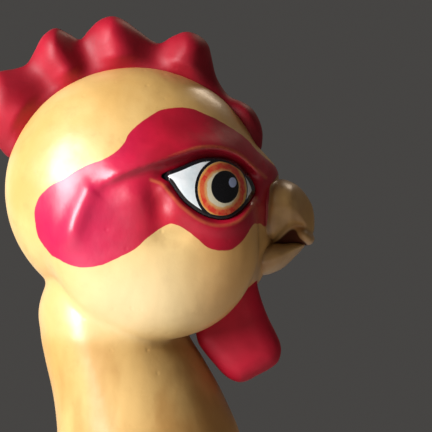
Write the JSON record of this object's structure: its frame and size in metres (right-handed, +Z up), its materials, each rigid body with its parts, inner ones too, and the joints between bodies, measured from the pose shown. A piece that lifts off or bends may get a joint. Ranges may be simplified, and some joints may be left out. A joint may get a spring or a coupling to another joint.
{
  "type": "rubber chicken",
  "caption": "Hollow moulded rubber chicken held by its neck, with a flexing head, neck, wings, legs and tail and a reed squeaker in the vent.",
  "frame": {"origin": "middle of the neck on its axis, where a hand holds the chicken", "axes": "+X forward, where the beak points; +Y the chicken's left; +Z up along the neck"},
  "size_m": [0.1224, 0.1286, 0.5286],
  "materials": {
    "skin_rubber": "glossy",
    "red_rubber": "glossy",
    "leg_rubber": "glossy",
    "eye_paint": "glossy",
    "squeaker_plastic": "satin",
    "reed_film": "gloss"
  },
  "bodies": {
    "neck": {"neck_skin": "skin_rubber"},
    "head": {"head_skin": "skin_rubber", "comb": "red_rubber", "upper_beak": "skin_rubber", "eye_left": "eye_paint", "eye_right": "eye_paint"},
    "jaw": {"lower_beak": "skin_rubber"},
    "torso": {"torso_skin": "skin_rubber", "vent_collar": "skin_rubber", "squeaker_housing": "squeaker_plastic", "squeaker_cap": "squeaker_plastic", "reed_block": "squeaker_plastic", "reed_clip": "squeaker_plastic"},
    "reed": {"reed": "reed_film"},
    "tail": {"tail": "skin_rubber"},
    "wattle_left": {"wattle_left": "red_rubber"},
    "wing_left": {"wing_left": "skin_rubber"},
    "thigh_left": {"thigh_skin_left": "skin_rubber"},
    "shank_left": {"shank_left": "leg_rubber"},
    "foot_left": {"foot_left": "leg_rubber"},
    "wattle_right": {"wattle_right": "red_rubber"},
    "wing_right": {"wing_right": "skin_rubber"},
    "thigh_right": {"thigh_skin_right": "skin_rubber"},
    "shank_right": {"shank_right": "leg_rubber"},
    "foot_right": {"foot_right": "leg_rubber"}
  },
  "joints": [
    {"name": "head_nod", "type": "hinge", "parent": "neck", "child": "head", "pos_m": [0, 0, 0.036], "axis": [0, 1, 0], "range_deg": [-35, 42], "stiffness_Nm_per_rad": 1.5},
    {"name": "neck_bend", "type": "hinge", "parent": "neck", "child": "torso", "pos_m": [0, 0, -0.036], "axis": [0, -1, 0], "range_deg": [-45, 45], "stiffness_Nm_per_rad": 2},
    {"name": "jaw_open", "type": "hinge", "parent": "head", "child": "jaw", "pos_m": [0.029, 0, 0.0834], "axis": [0, 1, 0], "range_deg": [0, 20], "stiffness_Nm_per_rad": 0.05},
    {"name": "tail_flick", "type": "hinge", "parent": "torso", "child": "tail", "pos_m": [-0.036, 0, -0.198], "axis": [0, 1, 0], "range_deg": [-18, 18], "stiffness_Nm_per_rad": 0.15},
    {"name": "reed_buzz", "type": "hinge", "parent": "torso", "child": "reed", "pos_m": [-0.00775, 0, -0.20685], "axis": [0, 1, 0], "range_deg": [-1.2, 1.2], "stiffness_Nm_per_rad": 0.002},
    {"name": "wattle_swing_left", "type": "hinge", "parent": "head", "child": "wattle_left", "pos_m": [0.022, 0.0045, 0.078], "axis": [1, 0, 0], "range_deg": [-3, 30], "stiffness_Nm_per_rad": 0.02},
    {"name": "wing_lift_left", "type": "hinge", "parent": "torso", "child": "wing_left", "pos_m": [0.009, 0.043, -0.095], "axis": [1, 0, 0], "range_deg": [0, 75], "stiffness_Nm_per_rad": 0.19},
    {"name": "hip_left", "type": "hinge", "parent": "torso", "child": "thigh_left", "pos_m": [-0.002, 0.0385, -0.19], "axis": [0, -1, 0], "range_deg": [-35, 60], "stiffness_Nm_per_rad": 0.8},
    {"name": "hock_left", "type": "hinge", "parent": "thigh_left", "child": "shank_left", "pos_m": [-0.002, 0.0385, -0.268], "axis": [0, -1, 0], "range_deg": [-40, 60], "stiffness_Nm_per_rad": 0.19},
    {"name": "ankle_left", "type": "hinge", "parent": "shank_left", "child": "foot_left", "pos_m": [-0.002, 0.0385, -0.338], "axis": [0, -1, 0], "range_deg": [-35, 35], "stiffness_Nm_per_rad": 0.12},
    {"name": "wattle_swing_right", "type": "hinge", "parent": "head", "child": "wattle_right", "pos_m": [0.022, -0.0045, 0.078], "axis": [-1, 0, 0], "range_deg": [-3, 30], "stiffness_Nm_per_rad": 0.02},
    {"name": "wing_lift_right", "type": "hinge", "parent": "torso", "child": "wing_right", "pos_m": [0.009, -0.043, -0.095], "axis": [-1, 0, 0], "range_deg": [0, 75], "stiffness_Nm_per_rad": 0.19},
    {"name": "hip_right", "type": "hinge", "parent": "torso", "child": "thigh_right", "pos_m": [-0.002, -0.0385, -0.19], "axis": [0, -1, 0], "range_deg": [-35, 60], "stiffness_Nm_per_rad": 0.8},
    {"name": "hock_right", "type": "hinge", "parent": "thigh_right", "child": "shank_right", "pos_m": [-0.002, -0.0385, -0.268], "axis": [0, -1, 0], "range_deg": [-40, 60], "stiffness_Nm_per_rad": 0.19},
    {"name": "ankle_right", "type": "hinge", "parent": "shank_right", "child": "foot_right", "pos_m": [-0.002, -0.0385, -0.338], "axis": [0, -1, 0], "range_deg": [-35, 35], "stiffness_Nm_per_rad": 0.12}
  ]
}
